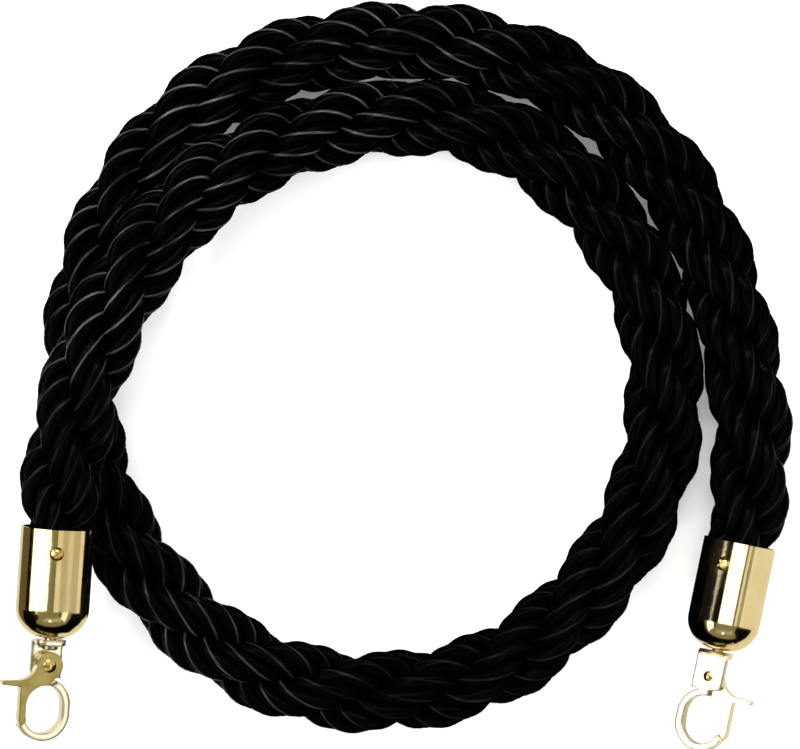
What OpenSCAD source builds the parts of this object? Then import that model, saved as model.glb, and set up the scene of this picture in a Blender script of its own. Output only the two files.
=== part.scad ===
// Twisted barrier rope, with a domed brass cap and a swivel trigger snap hook on each end.
// The rope lies in a loose coil on the plane z = 0, with its left end resting on the coil.
// Units are millimetres. +X runs from the left end fitting to the right one, and +Z is up.
// The origin is on the resting plane, at the middle of the box around the two end fittings.
// A fitting is drawn along its own +Z, from the mouth of its cap at 0 to the tip of its hook.
// Its own +Y is square to the hook's flat face, and its own +X points to the trigger's side.

/* [Rope] */
// Outer diameter of the rope
rope_d = 30; // [26:0.5:30]
// Diameter of the rope where a cap squeezes it
rope_end_d = 27.2; // [24:0.2:27.2]
// How far the rope reaches into each cap
rope_in_cap = 24; // [22:1:26]
// Sides of the rope's plain body
rope_sides = 12; // [8:1:12]
// Length of the tape wound round each rope end
whipping_l = 9; // [5:1:10]

/* [End caps] */
// Outer diameter of a cap
cap_d = 30.4; // [30.4:0.2:32]
// Length of a cap from its mouth to the end of its dome
cap_l = 45.8; // [44:0.2:50]
// Wall of the barrel
cap_wall = 0.9; // [0.6:0.1:1]
// Radius that rounds the barrel into the dome
dome_r = 12.6; // [11:0.2:13]
// Thickness of the dome where the swivel passes
dome_floor = 3; // [2:0.2:4]
// Distance of the screw from the mouth
screw_v = 9.7; // [6:0.1:10]
// Diameter of the screw's head
screw_head_d = 6; // [5:0.2:7]

/* [Swivels] */
// Diameter of the stud's shank
stud_d = 4.8; // [4:0.2:5]
// Gap between the shank and its hole, on the radius
swivel_gap = 0.06; // [0.03:0.01:0.1]
// Gap between the dome and the hook's tab
tab_gap = 0.6; // [0.3:0.1:1]

/* [Hooks] */
// Width of the hook's flat tongue
tongue_w = 13.3; // [12:0.1:14]
// Thickness of the tongue and of its bent tab
tongue_t = 2.4; // [2:0.1:2.6]
// Thickness of the hook's curved part
ring_t = 5; // [4.4:0.1:5.4]
// Radius of the round seat inside the hook
eye_r = 8.3; // [8:0.1:8.6]
// Width of the curved part, seen square to its flat face
ring_w = 3.1; // [2.6:0.1:3.4]
// Extra length of the eye between its two half circles
eye_stretch = 3.6; // [3:0.1:4]
// Distance of the seat's centre from the end of the dome
seat_v = 31.6; // [31:0.1:32]
// Distance of the trigger's pivot from the end of the dome
pivot_v = 11.5; // [11:0.1:12]
// Radius of the trigger's round head
head_r = 5.8; // [5.4:0.1:6]
// Thickness of the trigger
gate_t = 3.9; // [3.4:0.1:4]
// Gap between the trigger and the tongue
gate_gap = 0.3; // [0.2:0.05:0.4]
// Diameter of the rivet's shank
rivet_d = 3.2; // [2.8:0.1:3.4]

/* [Hidden] */
$fn = 96;

rope_black = [0.03, 0.03, 0.035];
tape_grey = [0.16, 0.16, 0.17];
brass = [0.85, 0.69, 0.33];
pale_brass = [0.93, 0.84, 0.58];
spring_steel = [0.55, 0.56, 0.58];

// The two ends: the mouth of the cap, the heading of its axis, how far it dips towards the hook,
// the cap's roll about its axis, and the hook's turn on its swivel.
LEFT = [[-137, 47.5, 43], -4, 2, -6, 161];
RIGHT = [[147, 40, cap_d / 2], -11.7, 0, 26, 0];

// The rope's free route between its ends, as control points of one smooth spline. It leaves the left
// cap, climbs over the outer turn, comes down inside it, and runs round twice to the right cap.
lie = rope_d / 2;
route = [
    [-131, 90, 47], [-123, 119, 49], [-109, 149, 47], [-90, 176, 40], [-68, 197, 28], [-41, 210.5, 17.5],
    [-8, 219.5, 15], [24, 220.5, lie], [55.5, 209.5, lie], [84, 187, lie], [105, 157, lie], [116, 124, lie],
    [116, 88, lie], [107, 53, lie], [88, 23, lie], [61, -4, lie], [30, -20, lie], [-6, -24, lie],
    [-42, -20, lie], [-75, -3, lie], [-102, 24, lie], [-122, 56, lie], [-132, 92, lie], [-130, 129, lie],
    [-122, 165, lie], [-104, 200, lie], [-76, 228.5, lie], [-42, 244.5, lie], [-4, 251.5, lie], [34, 249.5, lie],
    [71, 237.5, lie], [103.5, 213.5, lie], [128.5, 179.5, lie], [142, 142, lie], [151, 104, lie]
];
// How far the rope runs straight out of each cap before it may bend
left_lead = 20;
right_lead = 30;
rings_per_span = 2;
// Rings at each end that a cap squeezes
squeezed_rings = 3;

// Bare rope left beyond its whipping
end_tuft = 2;
cap_r = cap_d / 2;
bore_r = cap_r - cap_wall;
floor_v = cap_l - dome_floor;
whipping_v = rope_in_cap - whipping_l - end_tuft;
// The gap of a piece that sits fixed in another, and how far a cut runs past what it cuts
seat_gap = 0.05;
cut = 1;
screw_shank_d = 3;
screw_l = 9;
screw_dome = 1.6;
slot_w = 0.7;
slot_deep = 0.8;
washer_t = 0.8;
washer_r = 5.5;
stud_head_r = 4.2;
stud_head_t = 1.3;
axial_gap = 0.1;
stud_foot_r = 3.5;
stud_foot_t = 1.9;

// Places along the hook's own Y. The swivel's axis is at 0 and the tongue lies behind the trigger.
back_y = 5;
tongue_y = back_y - tongue_t;
gate_y = tongue_y - gate_gap;
gate_front_y = gate_y - gate_t;
ring_y = back_y - ring_t;
tab_front_y = -4.6;
tab_w = 12.7;
tab_round = 3;
bend_r = 2.2;
tongue_end_v = 17.2;
tongue_round = 3.5;
eye_x = 0.8;
ring_r = eye_r + ring_w;
head_clear_r = 8.8;
// The line where the trigger's tip meets the hook's nose: a point on it, and its slope
nose = [7.9, 34];
nose_slope = 0.815;
nose_gap = 0.15;
// The hollow curve between the trigger's head and its lever
hollow = [13.4, 9.4];
hollow_r = 8.3;
// The round end of the trigger's lever, the outer side of its jaw, and the inner side of its tip
lever_x = 19;
lever_v = 18.8;
lever_w = 2;
jaw_x = 12;
tip_x = 7.5;
ring_gap_x = 1.5;
pocket_r = [2.3, 4.5];
pocket_deep = 2.8;
pivot_gap = 0.06;
wire_r = 0.38;
wire_gap = 0.02;
wire_foot = 1.5;
coil_pitch = 1.9 * wire_r;
coil_r = 3.4;
rivet_head_r = 2.8;
rivet_head_t = 0.9;
rivet_peen_r = 2.1;
rivet_peen_t = 0.6;
big = 60;

// Placing

module end_frame(end) {
    translate(end[0]) rotate([90 + end[2], 0, end[1]]) rotate([0, 0, end[3]]) children();
}

// The hook's own frame starts at the end of the dome.
module hook_frame(end) {
    end_frame(end) rotate([0, 0, end[4]]) translate([0, 0, cap_l]) children();
}

// A point on the axis of an end fitting, v from the mouth of its cap.
function axis_point(end, v) = end[0] + v * [
    sin(end[1]) * cos(end[2]),
    -cos(end[1]) * cos(end[2]),
    -sin(end[2])
];

// Stands a flat outline, drawn in X and Z, between two places along Y.
module slab(y_low, y_high) {
    translate([0, y_high, 0]) rotate([90, 0, 0]) linear_extrude(y_high - y_low) children();
}

// A round bar along Y, at a given X and Z.
module bar_y(at, r, y_low, y_high) {
    translate([at[0], y_high, at[1]]) rotate([90, 0, 0]) cylinder(r = r, h = y_high - y_low);
}

// A shallow domed button, its flat side on z = 0.
module button(r, h) {
    ball_r = (r * r + h * h) / (2 * h);
    intersection() {
        translate([0, 0, h - ball_r]) sphere(ball_r);
        cylinder(r = r, h = 2 * h);
    }
}

// The rope: one tube swept along a uniform cubic spline

control = concat(
    [for (v = [2 * rope_in_cap, rope_in_cap, 0, -left_lead]) axis_point(LEFT, v)],
    route,
    [for (v = [-right_lead, 0, rope_in_cap, 2 * rope_in_cap]) axis_point(RIGHT, v)]
);
spans = len(control) - 3;
last_ring = spans * rings_per_span;

function spline(p, i, t) = (
    pow(1 - t, 3) * p[i]
    + (3 * pow(t, 3) - 6 * t * t + 4) * p[i + 1]
    + (-3 * pow(t, 3) + 3 * t * t + 3 * t + 1) * p[i + 2]
    + pow(t, 3) * p[i + 3]
) / 6;

function spline_way(p, i, t) = (
    -pow(1 - t, 2) * p[i]
    + (3 * t * t - 4 * t) * p[i + 1]
    + (-3 * t * t + 2 * t + 1) * p[i + 2]
    + t * t * p[i + 3]
) / 2;

function unit(v) = v / norm(v);

function ring_radius(k) =
    min(k, last_ring - k) < squeezed_rings ? rope_end_d / 2 : rope_d / 2;

// One ring of points, square to the route, with a corner straight down.
function ring(k) =
    let (
        i = min(floor(k / rings_per_span), spans - 1),
        t = k / rings_per_span - i,
        way = unit(spline_way(control, i, t)),
        side = unit(cross(way, [0, 0, 1])),
        up = cross(side, way),
        at = spline(control, i, t),
        r = ring_radius(k)
    )
    [for (j = [0:rope_sides - 1])
        let (a = 360 * j / rope_sides - 90)
        at + r * (cos(a) * side + sin(a) * up)];

module rope() {
    n = rope_sides;
    points = [for (k = [0:last_ring]) each ring(k)];
    walls = [for (k = [0:last_ring - 1], j = [0:n - 1])
        let (
            a = k * n + j,
            b = k * n + (j + 1) % n
        )
        each [[a, b, b + n], [a, b + n, a + n]]];
    near_end = [for (j = [0:n - 1]) n - 1 - j];
    far_end = [for (j = [0:n - 1]) last_ring * n + j];
    color(rope_black) polyhedron(points, concat([near_end], walls, [far_end]));
}

module rope_whipping(end) {
    color(tape_grey) end_frame(end) translate([0, 0, whipping_v]) rotate_extrude()
        translate([rope_end_d / 2 + seat_gap, 0])
            square([bore_r - rope_end_d / 2 - 2 * seat_gap, whipping_l]);
}

// The end caps and the swivels

// Half section of the cap's outside, or of its hollow when it is shrunk by the wall.
module cap_half(r, round_r, length) {
    square([r, length - round_r]);
    square([r - round_r, length]);
    translate([r - round_r, length - round_r]) intersection() {
        circle(round_r);
        square(round_r);
    }
}

module cap_section() {
    difference() {
        cap_half(cap_r, dome_r, cap_l);
        intersection() {
            translate([0, -cut]) cap_half(bore_r, dome_r - cap_wall, cap_l - cap_wall + cut);
            translate([0, -cut]) square([cap_r, floor_v + cut]);
        }
    }
}

module end_cap(end) {
    color(brass) end_frame(end) difference() {
        rotate_extrude() cap_section();
        translate([0, 0, floor_v - cut])
            cylinder(r = stud_d / 2 + swivel_gap, h = dome_floor + 2 * cut);
        bar_y([0, screw_v], screw_shank_d / 2 + seat_gap, 0, cap_r + cut);
    }
}

module cap_screw(end) {
    shank_r = screw_shank_d / 2;
    tip_l = 2.5;
    tip_r = 0.3;
    sunk = 0.2;
    slot_l = screw_head_d * 0.66;
    color(brass) end_frame(end) translate([0, 0, screw_v]) rotate([-90, 0, 0]) {
        difference() {
            translate([0, 0, cap_r - sunk]) button(screw_head_d / 2, screw_dome + sunk);
            rotate([90, 0, 0]) translate([0, 0, -big / 2]) cylinder(r = cap_r, h = big);
            for (turn = [35, 125])
                translate([0, 0, cap_r + screw_dome]) rotate([0, 0, turn])
                    cube([slot_l, slot_w, 2 * slot_deep], center = true);
        }
        translate([0, 0, cap_r - screw_l + tip_l])
            cylinder(r = shank_r, h = screw_l - tip_l + sunk);
        translate([0, 0, cap_r - screw_l]) cylinder(r1 = tip_r, r2 = shank_r, h = tip_l);
    }
}

module swivel_washer(end) {
    color(spring_steel) end_frame(end) translate([0, 0, floor_v - washer_t]) difference() {
        cylinder(r = washer_r, h = washer_t);
        translate([0, 0, -cut]) cylinder(r = stud_d / 2 + axial_gap, h = washer_t + 2 * cut);
    }
}

module swivel_stud(end) {
    head_v = floor_v - washer_t - axial_gap - cap_l;
    foot_v = tab_gap + tongue_t;
    foot_rim = stud_foot_t * 0.7;
    foot_top_r = stud_foot_r - 0.8;
    color(spring_steel) hook_frame(end) {
        translate([0, 0, head_v]) mirror([0, 0, 1]) button(stud_head_r, stud_head_t);
        translate([0, 0, head_v - stud_head_t / 2])
            cylinder(r = stud_d / 2, h = foot_v - head_v + stud_head_t / 2 + stud_foot_t / 2);
        translate([0, 0, foot_v]) cylinder(r = stud_foot_r, h = foot_rim);
        translate([0, 0, foot_v + foot_rim])
            cylinder(r1 = stud_foot_r, r2 = foot_top_r, h = stud_foot_t - foot_rim);
    }
}

// The hooks

// Two circles of one radius and the strip between them, as the eye and its outline.
module stretched_circle(r) {
    for (v = [seat_v - eye_stretch, seat_v])
        translate([eye_x, v]) circle(r);
    translate([eye_x - r, seat_v - eye_stretch]) square([2 * r, eye_stretch]);
}

// The line where the trigger's tip meets the nose of the hook.
function nose_line(x) = nose[1] + (x - nose[0]) * nose_slope;

module tongue_outline() {
    half = tongue_w / 2;
    difference() {
        translate([-half, tab_gap]) square([tongue_w, tongue_end_v - tab_gap]);
        translate([half - tongue_round, tongue_end_v - tongue_round]) difference() {
            square(tongue_round + cut);
            circle(tongue_round);
        }
    }
}

module ring_outline() {
    difference() {
        stretched_circle(ring_r);
        stretched_circle(eye_r);
        // the gap that the trigger closes
        polygon([
            [ring_gap_x, pivot_v],
            [big, pivot_v],
            [big, nose_line(big)],
            [ring_gap_x, nose_line(ring_gap_x)]
        ]);
    }
}

// The tab that is bent forward from the tongue, seen along the swivel's axis.
module tab_outline() {
    half = tab_w / 2;
    corner_x = half - tab_round;
    corner_y = tab_front_y + tab_round;
    translate([-half, corner_y]) square([tab_w, tongue_y - corner_y + 0.5]);
    translate([-corner_x, tab_front_y]) square([2 * corner_x, tab_round]);
    for (x = [-corner_x, corner_x])
        translate([x, corner_y]) circle(tab_round);
}

module hook_body(end) {
    color(pale_brass) hook_frame(end) difference() {
        union() {
            slab(tongue_y, back_y) tongue_outline();
            slab(ring_y, back_y) ring_outline();
            translate([0, 0, tab_gap]) linear_extrude(tongue_t) tab_outline();
        }
        // the outside of the bend
        translate([-big / 2, back_y - bend_r, tab_gap + bend_r]) rotate([0, 90, 0])
            linear_extrude(big) difference() {
                square(bend_r + cut);
                circle(bend_r);
            }
        // the rebate that the trigger's head turns in
        bar_y([0, pivot_v], head_clear_r, ring_y - cut, tongue_y);
        bar_y([0, pivot_v], rivet_d / 2, 0, back_y + cut);
        bar_y([coil_r, pivot_v], wire_r + wire_gap, tongue_y - cut, tongue_y + wire_foot + 0.1);
        translate([0, 0, tab_gap - cut]) cylinder(r = stud_d / 2, h = tongue_t + 2 * cut);
    }
}

module gate_arm() {
    polygon([
        [0, hollow[1]],
        [-4.2, pivot_v + 3.7],
        [0.2, 19.9],
        [2, seat_v - eye_stretch],
        [tip_x, nose_line(tip_x) - nose_gap],
        [jaw_x, nose_line(jaw_x) - nose_gap],
        [jaw_x, 20.4],
        [lever_x, lever_v + lever_w / 2 - 0.1],
        [lever_x, lever_v - lever_w / 2 + 0.1],
        [jaw_x, 17.5],
        [jaw_x, hollow[1]]
    ]);
}

// What the hollow, the eye and the hook's round outline take off the trigger.
module gate_cuts() {
    translate(hollow) circle(hollow_r);
    stretched_circle(eye_r);
    difference() {
        translate([tip_x, seat_v]) square(2 * tip_x);
        translate([eye_x, seat_v]) circle(ring_r);
    }
}

module gate_lever(end) {
    color(pale_brass) hook_frame(end) difference() {
        union() {
            bar_y([0, pivot_v], head_r, gate_front_y, gate_y);
            slab(gate_front_y, gate_y) gate_arm();
            bar_y([lever_x, lever_v], lever_w / 2, gate_front_y, gate_y);
        }
        slab(gate_front_y - cut, gate_y + cut) gate_cuts();
        bar_y([0, pivot_v], rivet_d / 2 + pivot_gap, gate_front_y - cut, gate_y + cut);
        difference() {
            bar_y([0, pivot_v], pocket_r[1], gate_y - pocket_deep, gate_y + cut);
            bar_y([0, pivot_v], pocket_r[0], gate_y - pocket_deep - cut, gate_y + 2 * cut);
        }
    }
}

module gate_rivet(end) {
    color(brass) hook_frame(end) translate([0, 0, pivot_v]) {
        translate([0, gate_front_y - pivot_gap, 0]) rotate([90, 0, 0]) button(rivet_head_r, rivet_head_t);
        translate([0, back_y, 0]) rotate([-90, 0, 0]) button(rivet_peen_r, rivet_peen_t);
        bar_y([0, 0], rivet_d / 2, gate_front_y - pivot_gap - rivet_head_t / 3, back_y + rivet_peen_t / 3);
    }
}

module gate_spring(end) {
    side_gap = 0.15;
    coil_y = gate_y - wire_r - side_gap;
    color(spring_steel) hook_frame(end) translate([0, 0, pivot_v]) {
        for (turn = [0, 1])
            translate([0, coil_y - coil_pitch * turn, 0]) rotate([90, 0, 0]) rotate_extrude()
                translate([coil_r, 0]) circle(wire_r, $fn = 24);
        bar_y([coil_r, 0], wire_r, coil_y, tongue_y + wire_foot);
        bar_y([-coil_r, 0], wire_r, gate_y - pocket_deep + side_gap, coil_y - coil_pitch);
    }
}

rope();
rope_whipping(LEFT);  // left_rope_whipping
end_cap(LEFT);  // left_end_cap
cap_screw(LEFT);  // left_cap_screw
swivel_washer(LEFT);  // left_swivel_washer
swivel_stud(LEFT);  // left_swivel_stud
hook_body(LEFT);  // left_hook_body
gate_rivet(LEFT);  // left_gate_rivet
gate_spring(LEFT);  // left_gate_spring
gate_lever(LEFT);  // left_gate_lever
rope_whipping(RIGHT);  // right_rope_whipping
end_cap(RIGHT);  // right_end_cap
cap_screw(RIGHT);  // right_cap_screw
swivel_washer(RIGHT);  // right_swivel_washer
swivel_stud(RIGHT);  // right_swivel_stud
hook_body(RIGHT);  // right_hook_body
gate_rivet(RIGHT);  // right_gate_rivet
gate_spring(RIGHT);  // right_gate_spring
gate_lever(RIGHT);  // right_gate_lever
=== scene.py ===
"""A twisted barrier rope with brass end caps and trigger snap hooks, lying in a loose coil."""
import math
from math import pi, radians

import bpy
import numpy as np
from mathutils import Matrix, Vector


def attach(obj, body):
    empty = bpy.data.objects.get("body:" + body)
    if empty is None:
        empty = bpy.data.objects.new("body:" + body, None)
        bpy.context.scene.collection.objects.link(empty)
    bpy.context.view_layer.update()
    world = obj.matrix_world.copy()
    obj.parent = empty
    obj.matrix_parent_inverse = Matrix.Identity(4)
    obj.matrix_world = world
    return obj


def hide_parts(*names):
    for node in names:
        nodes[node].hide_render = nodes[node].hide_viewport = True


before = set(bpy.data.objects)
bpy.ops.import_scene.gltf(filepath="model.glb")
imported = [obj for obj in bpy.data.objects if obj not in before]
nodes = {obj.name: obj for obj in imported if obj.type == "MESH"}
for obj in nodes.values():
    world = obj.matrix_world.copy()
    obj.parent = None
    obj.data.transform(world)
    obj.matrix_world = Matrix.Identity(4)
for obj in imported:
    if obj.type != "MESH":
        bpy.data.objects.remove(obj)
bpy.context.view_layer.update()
scene = bpy.context.scene
MM = 0.001


# ---------------------------------------------------------------- camera

# the point looked at, in mm, the width seen at its height and how far above it the camera is, in m
LOOK_AT = (4.2, 110.65, 15)
SEEN_WIDTH, CAMERA_AWAY = 0.336, 1.6


def make_camera():
    """Straight above, from far away, with the image's top towards +Y."""
    data = bpy.data.cameras.new("camera")
    data.sensor_width = 36
    data.lens = data.sensor_width * CAMERA_AWAY / SEEN_WIDTH
    data.clip_start, data.clip_end = 0.01, 50
    camera = bpy.data.objects.new("camera", data)
    camera.location = Vector(LOOK_AT) * MM + Vector((0, 0, CAMERA_AWAY))
    scene.collection.objects.link(camera)
    scene.camera = camera


make_camera()


# ---------------------------------------------------------------- the rope's route

# the height of the rope's centre where it lies flat, and the route's control points, in mm
LIE = 15
ROUTE = [
    (-131, 90, 47), (-123, 119, 49), (-109, 149, 47), (-90, 176, 40), (-68, 197, 28), (-41, 210.5, 17.5),
    (-8, 219.5, 15), (24, 220.5, LIE), (55.5, 209.5, LIE), (84, 187, LIE), (105, 157, LIE), (116, 124, LIE),
    (116, 88, LIE), (107, 53, LIE), (88, 23, LIE), (61, -4, LIE), (30, -20, LIE), (-6, -24, LIE),
    (-42, -20, LIE), (-75, -3, LIE), (-102, 24, LIE), (-122, 56, LIE), (-132, 92, LIE), (-130, 129, LIE),
    (-122, 165, LIE), (-104, 200, LIE), (-76, 228.5, LIE), (-42, 244.5, LIE), (-4, 251.5, LIE),
    (34, 249.5, LIE), (71, 237.5, LIE), (103.5, 213.5, LIE), (128.5, 179.5, LIE), (142, 142, LIE),
    (151, 104, LIE),
]
# an end cap's radius and length, and how much of the rope is inside it
CAP_R, CAP_L, IN_CAP = 15.2, 45.8, 24
# the mouth of each end cap, the heading of its axis and its dip towards the hook, in degrees
LEFT = ((-137, 47.5, 43), -4, 2)
RIGHT = ((147, 40, CAP_R), -11.7, 0)
# more control points on each cap's axis, by their distance from its mouth towards the hook
LEFT_LEAD, RIGHT_LEAD = (48, 24, 0, -20), (-30, 0, 24, 48)
STEPS_PER_SPAN = 80


def axis_way(end):
    heading, dip = radians(end[1]), radians(end[2])
    return np.array([math.sin(heading) * math.cos(dip), -math.cos(heading) * math.cos(dip), -math.sin(dip)])


def axis_point(end, v):
    return np.array(end[0], float) + v * axis_way(end)


def unit(v):
    return v / np.linalg.norm(v, axis=-1, keepdims=True)


def centreline(step_count):
    """Evenly spaced points along the route, in mm, and the distance of each from the start."""
    control = np.array(
        [axis_point(LEFT, v) for v in LEFT_LEAD] + [np.array(p, float) for p in ROUTE]
        + [axis_point(RIGHT, v) for v in RIGHT_LEAD])
    fine = []
    for i in range(len(control) - 3):
        for t in np.arange(0, 1, 1 / STEPS_PER_SPAN):
            weights = [(1 - t) ** 3, 3 * t ** 3 - 6 * t * t + 4, -3 * t ** 3 + 3 * t * t + 3 * t + 1, t ** 3]
            fine.append(np.array(weights) / 6 @ control[i:i + 4])
    fine.append(np.array([1, 4, 1]) / 6 @ control[-3:])
    fine = np.array(fine)
    s = np.concatenate([[0], np.cumsum(np.linalg.norm(np.diff(fine, axis=0), axis=1))])
    even = np.linspace(0, s[-1], step_count)
    return np.stack([np.interp(even, s, fine[:, k]) for k in range(3)], 1), even


def ways(points):
    return unit(np.gradient(points, axis=0))


def steady_frame(points, start):
    """A direction square to the route at each point, that turns as little as it can."""
    way = ways(points)
    side = [unit(start - (start @ way[0]) * way[0])]
    for a in range(len(points) - 1):
        v1 = points[a + 1] - points[a]
        c1 = v1 @ v1
        r = side[-1] - 2 / c1 * (v1 @ side[-1]) * v1
        t = way[a] - 2 / c1 * (v1 @ way[a]) * v1
        v2 = way[a + 1] - t
        c2 = v2 @ v2
        side.append(unit(r - 2 / c2 * (v2 @ r) * v2) if c2 > 1e-12 else r)
    side = np.array(side)
    return way, side, np.cross(way, side)


def smooth_step(x):
    x = np.clip(x, 0, 1)
    return x * x * (3 - 2 * x)


def soft_min(a, limit, soft):
    """a, or limit where a is greater, with a rounded corner between."""
    h = np.clip(0.5 + 0.5 * (limit - a) / soft, 0, 1)
    return limit * (1 - h) + a * h - soft * h * (1 - h)


# ---------------------------------------------------------------- the rope

RINGS = 900
STRANDS, YARNS = 3, 4
# each strand's distance from the rope's centre, the length of one of its turns and where it starts
STRAND_AT, STRAND_LAY, STRAND_START = 9.25, 108.7, -0.43
# each yarn's distance from its strand's centre, the length of one turn, its radius, and how far each
# strand's yarns start round from the last strand's
YARN_AT, YARN_LAY, YARN_R, YARN_START = 4.9, 30, 3.6, 1.9
ENVELOPE = STRAND_AT + YARN_AT + YARN_R
# how much smaller the rope is inside a cap, and the length over which it swells outside
SQUEEZED, SWELL_OVER = 0.79, 15
# parts of the rope this far apart along it don't press on each other
SEPARATE = 120
# neighbours this much beyond touching still count, and a cap counts up to here before its dome's end
NEAR, DOME_SHORT = 2, 8
# the gaps kept from the middle between two passes, from a cap and from the ground, and how gently
# the rope turns flat against its neighbours and the ground
NEIGHBOUR_GAP, CAP_GAP, GROUND_GAP = 0.12, 0.15, 0.25
NEIGHBOUR_SOFT, GROUND_SOFT = 1.2, 1.1
# the texture's measure along a yarn
UV_PER_MM = 0.01
# corners around a yarn in degrees from the side that can be seen, closer together there, and where
# the last of them is on the texture's way round
CORNERS = [-108, -72, -36, 0, 36, 72, 108, 152, -152]
LAST_CORNER = 208


def yarn_paths():
    """The centreline, the squeeze along it, and each yarn's points and directions out of its strand."""
    mid, s = centreline(RINGS)
    way, side, up = steady_frame(mid, np.array([1.0, 0, 0]))
    inside = np.minimum(s - IN_CAP, s[-1] - IN_CAP - s)       # below 0 within a cap
    squeeze = SQUEEZED + (1 - SQUEEZED) * smooth_step((inside + 1) / SWELL_OVER)
    made = []
    for k in range(STRANDS):
        turn = 2 * pi * (k / STRANDS - s / STRAND_LAY) + STRAND_START
        out = np.cos(turn)[:, None] * side + np.sin(turn)[:, None] * up
        core = mid + (STRAND_AT * squeeze)[:, None] * out
        run = ways(core)
        out = unit(out - np.sum(out * run, 1)[:, None] * run)
        across = np.cross(run, out)
        for j in range(YARNS):
            spin = 2 * pi * (j / YARNS + s / YARN_LAY) + YARN_START * k
            away = np.cos(spin)[:, None] * out + np.sin(spin)[:, None] * across
            made.append((core + (YARN_AT * squeeze)[:, None] * away, away))
    return mid, s, squeeze, made


def nearest_other(mid, s):
    """For each ring, the way to whatever presses on the rope there, and how far out it may reach."""
    found = [[] for _ in mid]
    for a, p in enumerate(mid):
        gap = np.linalg.norm(mid - p, axis=1)
        gap[np.abs(s - s[a]) < SEPARATE] = 1e9
        b = int(gap.argmin())
        if gap[b] < 2 * ENVELOPE + NEAR:
            found[a].append(((mid[b] - p) / gap[b], gap[b] / 2 - NEIGHBOUR_GAP))
        for end, far in ((LEFT, s[a]), (RIGHT, s[-1] - s[a])):
            if far < SEPARATE:
                continue
            start, along = np.array(end[0], float), axis_way(end)
            v = np.clip((p - start) @ along, 0, CAP_L - DOME_SHORT)
            d = start + v * along - p
            far_off = np.linalg.norm(d)
            if far_off < CAP_R + ENVELOPE + NEAR:
                found[a].append((d / far_off, far_off - CAP_R - CAP_GAP))
    return found


def press(points, centre, rules):
    """Flattens a ring of points against the surface it lies on and against its neighbours."""
    p = points.copy()
    for way, limit in rules:
        reach = (p - centre) @ way
        p += (soft_min(reach, limit, NEIGHBOUR_SOFT) - reach)[:, None] * way
    p[:, 2] = -soft_min(-p[:, 2], -GROUND_GAP, GROUND_SOFT)
    return p


def make_rope():
    mid, s, squeeze, paths = yarn_paths()
    rules = nearest_other(mid, s)
    angles = np.radians(CORNERS)
    n = len(CORNERS)
    verts, faces, uvs = [], [], []
    for path, away in paths:
        run = ways(path)
        out = unit(away - np.sum(away * run, 1)[:, None] * run)
        across = np.cross(run, out)
        length = np.concatenate([[0], np.cumsum(np.linalg.norm(np.diff(path, axis=0), axis=1))])
        base = len(verts)
        for a in range(RINGS):
            ring = path[a] + YARN_R * squeeze[a] * (
                np.cos(angles)[:, None] * out[a] + np.sin(angles)[:, None] * across[a])
            ring = press(ring, mid[a], rules[a])
            verts.extend(ring)
        u = [(c + 180) / 360 for c in CORNERS[:-1] + [LAST_CORNER]]
        for a in range(RINGS - 1):
            for c in range(n):
                d = (c + 1) % n
                b0, b1 = base + a * n, base + (a + 1) * n
                faces.append((b0 + c, b0 + d, b1 + d, b1 + c))
                u0, u1 = u[c], (u[d] if d else u[0] + 1)
                uvs += [(u0, length[a]), (u1, length[a]), (u1, length[a + 1]), (u0, length[a + 1])]
        faces.append(tuple(base + c for c in reversed(range(n))))
        uvs += [(0, 0)] * n
        faces.append(tuple(base + (RINGS - 1) * n + c for c in range(n)))
        uvs += [(0, 0)] * n
    mesh = bpy.data.meshes.new("twisted_rope")
    mesh.from_pydata([tuple(v * MM) for v in verts], [], faces)
    layer = mesh.uv_layers.new(name="fibre")
    layer.data.foreach_set("uv", np.array([(u, v * UV_PER_MM) for u, v in uvs], np.float32).ravel())
    mesh.polygons.foreach_set("use_smooth", [True] * len(mesh.polygons))
    mesh.update()
    rope = bpy.data.objects.new("twisted_rope", mesh)
    scene.collection.objects.link(rope)
    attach(rope, "rope")
    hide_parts("rope")
    length = float(s[-1]) * MM
    return rope


rope = make_rope()


# ---------------------------------------------------------------- materials

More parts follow.
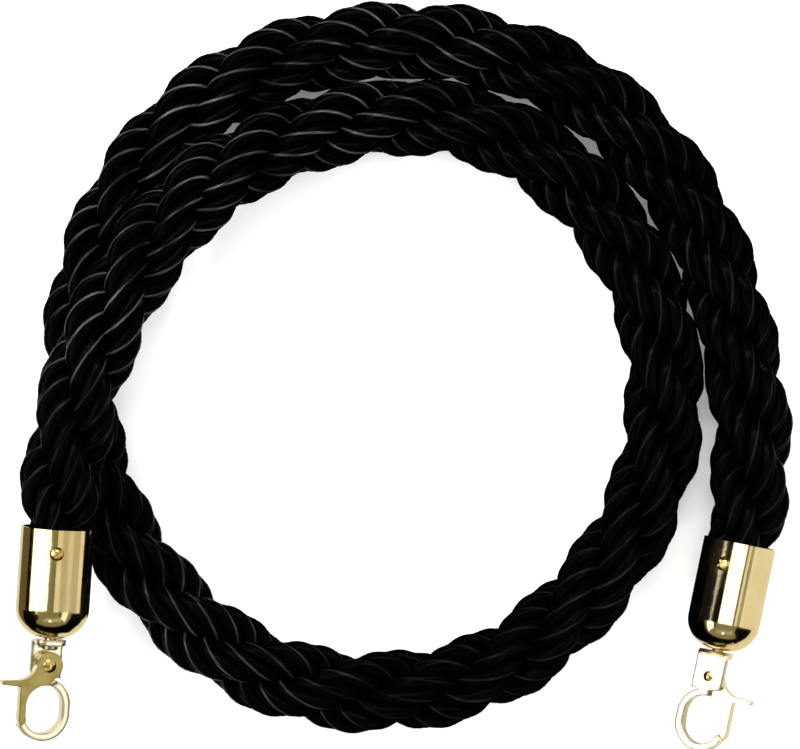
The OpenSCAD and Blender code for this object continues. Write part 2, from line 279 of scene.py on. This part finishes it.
class Shade:
    """A few short ways to build a node material."""

    def __init__(self, name):
        self.material = bpy.data.materials.new(name)
        self.material.use_nodes = True
        self.tree = self.material.node_tree
        self.bsdf = self.tree.nodes["Principled BSDF"]

    def node(self, kind, inputs=None, **settings):
        made = self.tree.nodes.new(kind)
        for key, value in settings.items():
            setattr(made, key, value)
        for key, value in (inputs or {}).items():
            self.put(made.inputs[key], value)
        return made

    def put(self, socket, value):
        if isinstance(value, bpy.types.NodeSocket):
            self.tree.links.new(value, socket)
        else:
            socket.default_value = value

    def set(self, **values):
        for key, value in values.items():
            self.put(self.bsdf.inputs[key.replace("_", " ")], value)

    def math(self, operation, a, b=0.0, c=0.0):
        return self.node("ShaderNodeMath", {0: a, 1: b, 2: c}, operation=operation).outputs[0]

    def spread(self, value, low, high, to_low=0.0, to_high=1.0):
        made = self.node("ShaderNodeMapRange", {0: value, 1: low, 2: high, 3: to_low, 4: to_high})
        return made.outputs[0]

    def mix(self, factor, a, b):
        made = self.node("ShaderNodeMix", {0: factor, 6: a, 7: b}, data_type="RGBA")
        return made.outputs[2]

    def noise(self, vector, scale, detail=3.0, rough=0.5):
        inputs = {"Vector": vector, "Scale": scale, "Detail": detail, "Roughness": rough}
        return self.node("ShaderNodeTexNoise", inputs).outputs[0]

    def place(self):
        """Object coordinates in metres."""
        return self.node("ShaderNodeTexCoord").outputs["Object"]

    def soft_edges(self, radius):
        """Normals that round the sharp edges off, by a radius in mm."""
        return self.node("ShaderNodeBevel", {"Radius": radius * MM}, samples=6).outputs[0]

    def bump(self, height, strength, distance, after=None):
        made = self.node("ShaderNodeBump", {"Height": height, "Strength": strength, "Distance": distance})
        if after is not None:
            self.put(made.inputs["Normal"], after)
        return made.outputs[0]


# where the painted highlight on the yarn crests shows most: where each stretch starts, is full, is full until
# and is gone, in tenths of a metre along the yarn, and how strong it is
PAINTED_HIGHLIGHT_STRETCHES = ((0.8, 1.5, 3.3, 3.9, 0.9), (8.8, 9.4, 9.9, 10.5, 0.5), (11.5, 13.0, 14.8, 15.3, 1.0))


def yarn_material():
    """Black satin yarn: fine filaments that run along each yarn with a slight twist, and a thin painted
    highlight along each yarn's crest.
    """
    m = Shade("black_satin_yarn")
    uv = m.node("ShaderNodeUVMap", uv_map="fibre")
    parts = m.node("ShaderNodeSeparateXYZ", {0: uv.outputs[0]})
    around, along = parts.outputs[0], parts.outputs[1]
    # the filaments lean against the yarn's own twist
    lean = m.math("MULTIPLY_ADD", along, 0.9, around)

    def stretched(times_around, times_along):
        inputs = {0: m.math("MULTIPLY", lean, times_around), 1: m.math("MULTIPLY", along, times_along)}
        return m.node("ShaderNodeCombineXYZ", inputs).outputs[0]

    filament = m.noise(stretched(46.0, 6.0), 1.0, 2.0, 0.6)
    bundle = m.noise(stretched(14.0, 2.0), 1.0, 1.0, 0.5)
    patch = m.noise(m.place(), 60.0, 2.0, 0.5)
    tone = m.mix(m.spread(filament, 0.35, 0.7), (0.0002, 0.0002, 0.0003, 1), (0.0009, 0.0009, 0.0011, 1))
    # a thin painted highlight along the crest of each yarn: the colour is paler there and more specular
    wander = m.math("MULTIPLY_ADD", bundle, 0.03, 0.485)
    crest_highlight_mask = m.spread(m.math("ABSOLUTE", m.math("SUBTRACT", around, wander)), 0.009, 0.032, 1.0, 0.0)
    broad = m.noise(m.place(), 22.0, 3.0, 0.6)
    patchy = m.spread(broad, 0.38, 0.62, 0.06, 1.0)
    uneven = m.math("MULTIPLY", patchy, m.spread(filament, 0.35, 0.6, 0.25, 1.0))
    # the painted crest highlight is strong along three stretches of the rope, and faint elsewhere
    strength = 0.1
    for start, full, until, gone, amount in PAINTED_HIGHLIGHT_STRETCHES:
        rise = m.spread(along, start, full, 0.0, amount)
        strength = m.math("ADD", m.math("MULTIPLY", rise, m.spread(along, until, gone, 1.0, 0.0)), strength)
    painted_highlight = m.math("MULTIPLY", m.math("MULTIPLY", crest_highlight_mask, uneven), strength)
    # painted highlight: the crest lines are coloured pale grey over the near-black yarn
    m.set(Base_Color=m.mix(painted_highlight, tone, (0.095, 0.095, 0.1, 1)))
    varied = m.math("ADD", m.math("MULTIPLY", bundle, 0.6), m.math("MULTIPLY", patch, 0.4))
    m.set(Roughness=m.spread(varied, 0.3, 0.7, 0.18, 0.3), IOR=1.5)
    m.set(Specular_IOR_Level=m.spread(painted_highlight, 0.0, 1.0, 0.012, 0.35), Anisotropic=0.5, Anisotropic_Rotation=0.25)
    tangent = m.node("ShaderNodeTangent", direction_type="UV_MAP", uv_map="fibre")
    m.set(Tangent=tangent.outputs[0])
    first = m.bump(bundle, 0.5, 0.00035)
    m.set(Normal=m.bump(filament, 0.55, 0.00014, first))
    return m.material


def brass_material(name, tint, deep, rough, cast=0.0, edge=0.0):
    """Polished plating, faintly wavy and in places duller: cast is how grainy it is, and edge the radius
    in mm that its edges look rounded by."""
    m = Shade(name)
    place = m.place()
    broad = m.noise(place, 45.0, 3.0, 0.55)
    fine = m.noise(place, 900.0, 3.0, 0.6)
    specks = m.noise(place, 2600.0, 2.0, 0.6)
    tone = m.mix(m.spread(broad, 0.38, 0.66), tint, deep)
    m.set(Base_Color=tone, Metallic=1.0)
    varied = m.math("MULTIPLY_ADD", broad, 0.6, m.math("MULTIPLY", fine, 0.4))
    m.set(Roughness=m.spread(varied, 0.35, 0.65, rough, rough + 0.1))
    first = m.bump(broad, 0.25, 0.0004, m.soft_edges(edge) if edge else None)
    second = m.bump(fine, 0.12 + 0.5 * cast, 0.00004, first)
    m.set(Normal=m.bump(specks, 0.05 + 0.6 * cast, 0.00003, second))
    return m.material


def gate_material(name, front):
    """The gate is darker, browner and rougher on the faces that point the way front does, and pale and
    polished on the rest. front is the way the front faces at rest."""
    m = Shade(name)
    place = m.place()
    broad = m.noise(place, 160.0, 3.0, 0.6)
    grit = m.noise(place, 1700.0, 3.0, 0.65)
    where = m.node("ShaderNodeTexCoord")
    facing = m.node("ShaderNodeVectorMath", {0: where.outputs["Normal"], 1: front}, operation="DOT_PRODUCT")
    # cast marks the faces that point the way front does; they get the darker, browner, rougher tone
    cast = m.spread(facing.outputs["Value"], 0.75, 0.95)
    darker_front_tone = m.mix(m.spread(broad, 0.35, 0.65), (0.4, 0.32, 0.11, 1), (0.29, 0.23, 0.07, 1))
    m.set(Base_Color=m.mix(cast, (0.93, 0.84, 0.56, 1), darker_front_tone), Metallic=1.0)
    m.set(Roughness=m.math("ADD", m.spread(cast, 0.0, 1.0, 0.1, 0.26), m.math("MULTIPLY", grit, 0.12)))
    first = m.bump(broad, m.math("MULTIPLY", cast, 0.3), 0.0003, m.soft_edges(0.7))
    m.set(Normal=m.bump(grit, m.math("MULTIPLY_ADD", cast, 0.5, 0.04), 0.00005, first))
    return m.material


def steel_material():
    m = Shade("spring_wire")
    place = m.place()
    grain = m.noise(place, 1500.0, 3.0, 0.6)
    m.set(Base_Color=m.mix(grain, (0.45, 0.45, 0.47, 1), (0.6, 0.6, 0.62, 1)), Metallic=1.0)
    m.set(Roughness=m.spread(grain, 0.3, 0.7, 0.2, 0.4), Normal=m.bump(grain, 0.2, 0.00003))
    return m.material


def tape_material():
    m = Shade("cloth_tape")
    inputs = {"Vector": m.place(), "Scale": 260.0, "Distortion": 0.6, "Detail": 2.0}
    wave = m.node("ShaderNodeTexWave", inputs, bands_direction="Y")
    m.set(Base_Color=m.mix(wave.outputs[1], (0.05, 0.05, 0.055, 1), (0.12, 0.12, 0.13, 1)), Roughness=0.8)
    m.set(Normal=m.bump(wave.outputs[1], 0.4, 0.0001))
    return m.material


def dress(name, material):
    nodes[name].data.materials.clear()
    nodes[name].data.materials.append(material)


rope.data.materials.append(yarn_material())
cap_brass = brass_material("cap_brass", (0.95, 0.8, 0.47, 1), (0.9, 0.72, 0.36, 1), 0.05)
screw_brass = brass_material("screw_brass", (0.92, 0.7, 0.28, 1), (0.85, 0.6, 0.2, 1), 0.12)
hook_brass = brass_material("hook_brass", (0.97, 0.91, 0.7, 1), (0.93, 0.84, 0.58, 1), 0.08, 0.2, 1.7)
gate_brass = {"left": gate_material("left_gate_brass", (0.42, -0.06, 0.91)),
              "right": gate_material("right_gate_brass", (0.43, -0.09, -0.9))}
stud_brass = brass_material("stud_brass", (0.6, 0.5, 0.33, 1), (0.42, 0.36, 0.26, 1), 0.2)
wire = steel_material()
tape = tape_material()
for which in ("left", "right"):
    dress(which + "_end_cap", cap_brass)
    dress(which + "_cap_screw", screw_brass)
    dress(which + "_hook_body", hook_brass)
    dress(which + "_gate_lever", gate_brass[which])
    dress(which + "_gate_rivet", screw_brass)
    dress(which + "_swivel_stud", stud_brass)
    dress(which + "_swivel_washer", wire)
    dress(which + "_gate_spring", wire)
    dress(which + "_rope_whipping", tape)


# ---------------------------------------------------------------- stage and light

def area(name, at, target, width, height, power):
    """A rectangular light, in metres and watts, turned to the target."""
    data = bpy.data.lights.new(name, "AREA")
    data.shape, data.size, data.size_y = "RECTANGLE", width, height
    data.energy = power
    lamp = bpy.data.objects.new(name, data)
    lamp.location = at
    lamp.rotation_mode = "QUATERNION"
    lamp.rotation_quaternion = (Vector(target) - Vector(at)).to_track_quat("-Z", "Y")
    scene.collection.objects.link(lamp)


def floor_material():
    """Pale and plain, but black in reflections so that the black rope stays black."""
    m = Shade("pale_floor")
    path = m.node("ShaderNodeLightPath")
    seen = m.math("SUBTRACT", 1.0, path.outputs["Is Glossy Ray"])
    m.set(Base_Color=m.mix(seen, (0, 0, 0, 1), (0.93, 0.93, 0.93, 1)), Roughness=1.0, Specular_IOR_Level=0.0)
    m.set(Emission_Color=(1, 0.985, 1, 1), Emission_Strength=m.math("MULTIPLY", seen, 0.16))
    return m.material


FLOOR_HALF = 15.0


def make_floor():
    mesh = bpy.data.meshes.new("floor")
    corners = [(x * FLOOR_HALF, y * FLOOR_HALF, 0) for x, y in ((1, 1), (-1, 1), (-1, -1), (1, -1))]
    mesh.from_pydata(corners, [], [(0, 1, 2, 3)])
    mesh.materials.append(floor_material())
    floor = bpy.data.objects.new("floor", mesh)
    floor.location = (0, 0.1, 0)
    scene.collection.objects.link(floor)


make_floor()


def glow(name, colour, strength):
    """A card's material that only gives off light."""
    m = Shade(name)
    m.set(Base_Color=(0, 0, 0, 1), Roughness=1.0, Specular_IOR_Level=0.0)
    m.set(Emission_Color=colour, Emission_Strength=strength)
    return m.material


CARDS = {
    "black": glow("card_black", (0, 0, 0, 1), 0.0),
    "olive": glow("card_olive", (0.22, 0.21, 0.13, 1), 1.0),
    "brown": glow("card_brown", (0.12, 0.1, 0.05, 1), 1.0),
    "cream": glow("card_cream", (0.8, 0.77, 0.66, 1), 1.0),
    "pale": glow("card_pale", (1, 1, 0.98, 1), 1.15),
    "tan": glow("card_tan", (0.52, 0.49, 0.4, 1), 1.0),
    "white": glow("card_white", (1, 1, 1, 1), 2.3),
    "blaze": glow("card_blaze", (1, 1, 1, 1), 1.6),
}


def only_reflected(made):
    made.visible_camera = made.visible_diffuse = made.visible_shadow = made.visible_transmission = False


# a tent's radius about the fitting's axis, and along that axis from the cap's mouth: where the strips
# start and end, and where the wings end
TENT_R, TENT_BACK, TENT_FRONT, WINGS_END = 110, -90, 52, 170
# the hood's centre is this far behind the strips' end, and the ground cards are this high
HOOD_BACK, SHORE_HIGH = 16, 0.4
# degrees that one flat card of a curved strip covers
CARD_ANGLE = 8


def tent(name, end, strips, shore, wings):
    """Cards round an end fitting that only its reflections see. Strips (from, to, card) run along the cap
    and wings along the hook, in degrees from straight up towards the fitting's right. A hood stands past
    the dome. Shore (near, far, first, last, card) lies on the ground, in mm across and along."""
    start, along = np.array(end[0], float), axis_way(end)
    along = unit(np.array([along[0], along[1], 0]))
    across = np.cross([0, 0, 1.0], along) * -1
    if across[0] < 0:
        across = -across
    up = np.array([0, 0, 1.0])
    verts, faces, names = [], [], []

    def quad(corners, kind):
        faces.append(tuple(range(len(verts), len(verts) + 4)))
        verts.extend(tuple(c * MM) for c in corners)
        names.append(kind)

    def round_point(v, angle):
        a = radians(angle)
        return start + v * along + TENT_R * (math.sin(a) * across + math.cos(a) * up)

    runs = [(*strip, TENT_BACK, TENT_FRONT) for strip in strips]
    runs += [(*wing, TENT_FRONT, WINGS_END) for wing in wings]
    for low, high, kind, v0, v1 in runs:
        steps = max(1, int((high - low) / CARD_ANGLE))
        for k in range(steps):
            a, b = low + (high - low) * k / steps, low + (high - low) * (k + 1) / steps
            quad([round_point(v0, a), round_point(v0, b), round_point(v1, b), round_point(v1, a)], kind)
    middle = start + (TENT_FRONT - HOOD_BACK) * along
    for low, high, side_low, side_high, kind, grow in HOOD:
        steps = max(1, int((high - low) / CARD_ANGLE))
        for k in range(steps):
            a, b = (radians(low + (high - low) * (k + x) / steps) for x in (0, 1))
            ring = [middle + (TENT_R + grow) * (math.sin(x) * along + math.cos(x) * up) for x in (a, b)]
            quad([ring[0] + side_low * across, ring[0] + side_high * across,
                  ring[1] + side_high * across, ring[1] + side_low * across], kind)
    ground = np.array([start[0], start[1], SHORE_HIGH])
    for near, far, first, last, kind in shore:
        quad([ground + first * along + near * across, ground + first * along + far * across,
              ground + last * along + far * across, ground + last * along + near * across], kind)
    mesh = bpy.data.meshes.new(name)
    mesh.from_pydata(verts, [], faces)
    kinds = sorted(set(names))
    for kind in kinds:
        mesh.materials.append(CARDS[kind])
    for face, kind in zip(mesh.polygons, names):
        face.material_index = kinds.index(kind)
    made = bpy.data.objects.new(name, mesh)
    scene.collection.objects.link(made)
    only_reflected(made)


# from and to in degrees from straight up towards the hook, sideways from and to, card, added radius
HOOD = [(8, 66, -80, 80, "olive", 0), (66, 100, -80, 80, "black", 0), (40, 46, -5, 5, "white", -2)]
# the two tents' shores lie at one height, so they must not overlap
tent("tent_left", LEFT,
     strips=[(-95, -84, "brown"), (-84, -68, "black"), (-68, -12, "white"), (-12, 5, "olive"),
             (5, 8, "brown"), (8, 24, "cream"), (24, 80, "tan"), (80, 95, "cream")],
     shore=[(-400, -74, -90, 110, "brown"), (-74, -16, -90, 110, "cream"), (-16, 16, 40, 170, "cream"),
            (16, 40, -90, 44, "black"), (40, 72, -90, 110, "cream"), (72, 160, -90, 110, "black"),
            (16, 40, 44, 170, "cream")],
     wings=[(-95, -40, "black"), (26, 36, "brown"), (36, 54, "pale"), (54, 66, "olive"), (66, 95, "black")])
tent("tent_right", RIGHT,
     strips=[(-95, -22, "black"), (-22, 20, "white"), (20, 26, "brown"), (26, 34, "cream"),
             (34, 44, "olive"), (44, 95, "cream")],
     shore=[(-130, -15, -90, 170, "black"), (-15, 15, 40, 75, "cream"), (-15, 15, 75, 170, "tan"),
            (15, 400, -90, 170, "cream")],
     wings=[(-95, -66, "black"), (-66, -57, "brown"), (-57, -35, "blaze"), (-35, -26, "brown"),
            (36, 95, "black")])

# the sky's strength, and its strength in reflections
SKY, SKY_REFLECTED = 1.25, 0.01
world = bpy.data.worlds.new("world")
scene.world = world
world.use_nodes = True
sky = world.node_tree
backdrop = sky.nodes["Background"]
backdrop.inputs[0].default_value = (1, 1, 1, 1)
ray = sky.nodes.new("ShaderNodeLightPath")
dim = sky.nodes.new("ShaderNodeMapRange")
dim.inputs[3].default_value, dim.inputs[4].default_value = SKY, SKY_REFLECTED
sky.links.new(ray.outputs["Is Glossy Ray"], dim.inputs[0])
sky.links.new(dim.outputs[0], backdrop.inputs[1])
area("key_top", (-0.2, 1.3, 1.3), (0, 0.1, 0), 2.2, 0.1, 30)
area("key_bottom", (0, -1.1, 1.2), (0, 0.1, 0), 1.4, 0.08, 5)
area("key_left", (-1.2, 0.3, 1.2), (0, 0.1, 0), 1.6, 0.08, 14)
area("key_right", (1.2, 0.1, 1.1), (0, 0.1, 0), 1.2, 0.08, 4)

scene.view_settings.view_transform = "Standard"
scene.view_settings.look = "None"
